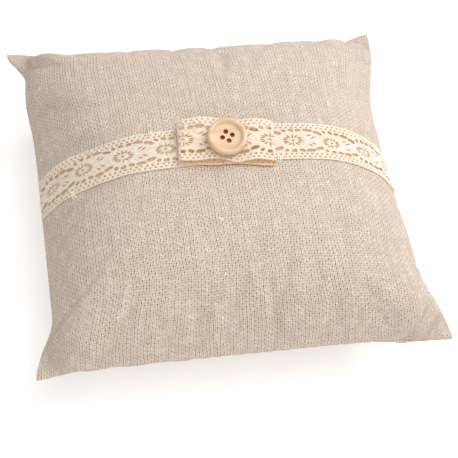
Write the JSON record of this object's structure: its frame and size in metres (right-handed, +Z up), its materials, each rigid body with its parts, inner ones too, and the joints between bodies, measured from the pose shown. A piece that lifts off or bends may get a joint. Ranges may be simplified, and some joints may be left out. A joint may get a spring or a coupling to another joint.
{
  "type": "ring bearer pillow",
  "caption": "Square linen cushion with a cotton lace band across its middle, a flat lace bow and a round wooden button where the ring ribbon is tied.",
  "frame": {"origin": "middle of the flat patch that the pillow rests on, at the bottom centre of its box", "axes": "+X along the lace band, +Y from the front edge, with the closed filling opening, to the far edge, +Z up through the button"},
  "size_m": [0.194, 0.186, 0.0824],
  "materials": {
    "linen": "plain weave, undyed",
    "filling": "loose polyester fibre",
    "linen_thread": "matt sewing thread",
    "lace": "cotton bobbin lace",
    "white_thread": "sewing thread",
    "glue": "set hot glue",
    "wood": "turned, unvarnished"
  },
  "bodies": {
    "root": {"cover_front": "linen", "cover_back": "linen", "filling": "filling", "seam_thread": "linen_thread", "closing_stitches": "linen_thread", "lace_band": "lace", "band_tacks": "white_thread", "bow_loop": "lace", "bow_tie_thread": "white_thread", "button_glue": "glue", "button": "wood"}
  },
  "joints": []
}
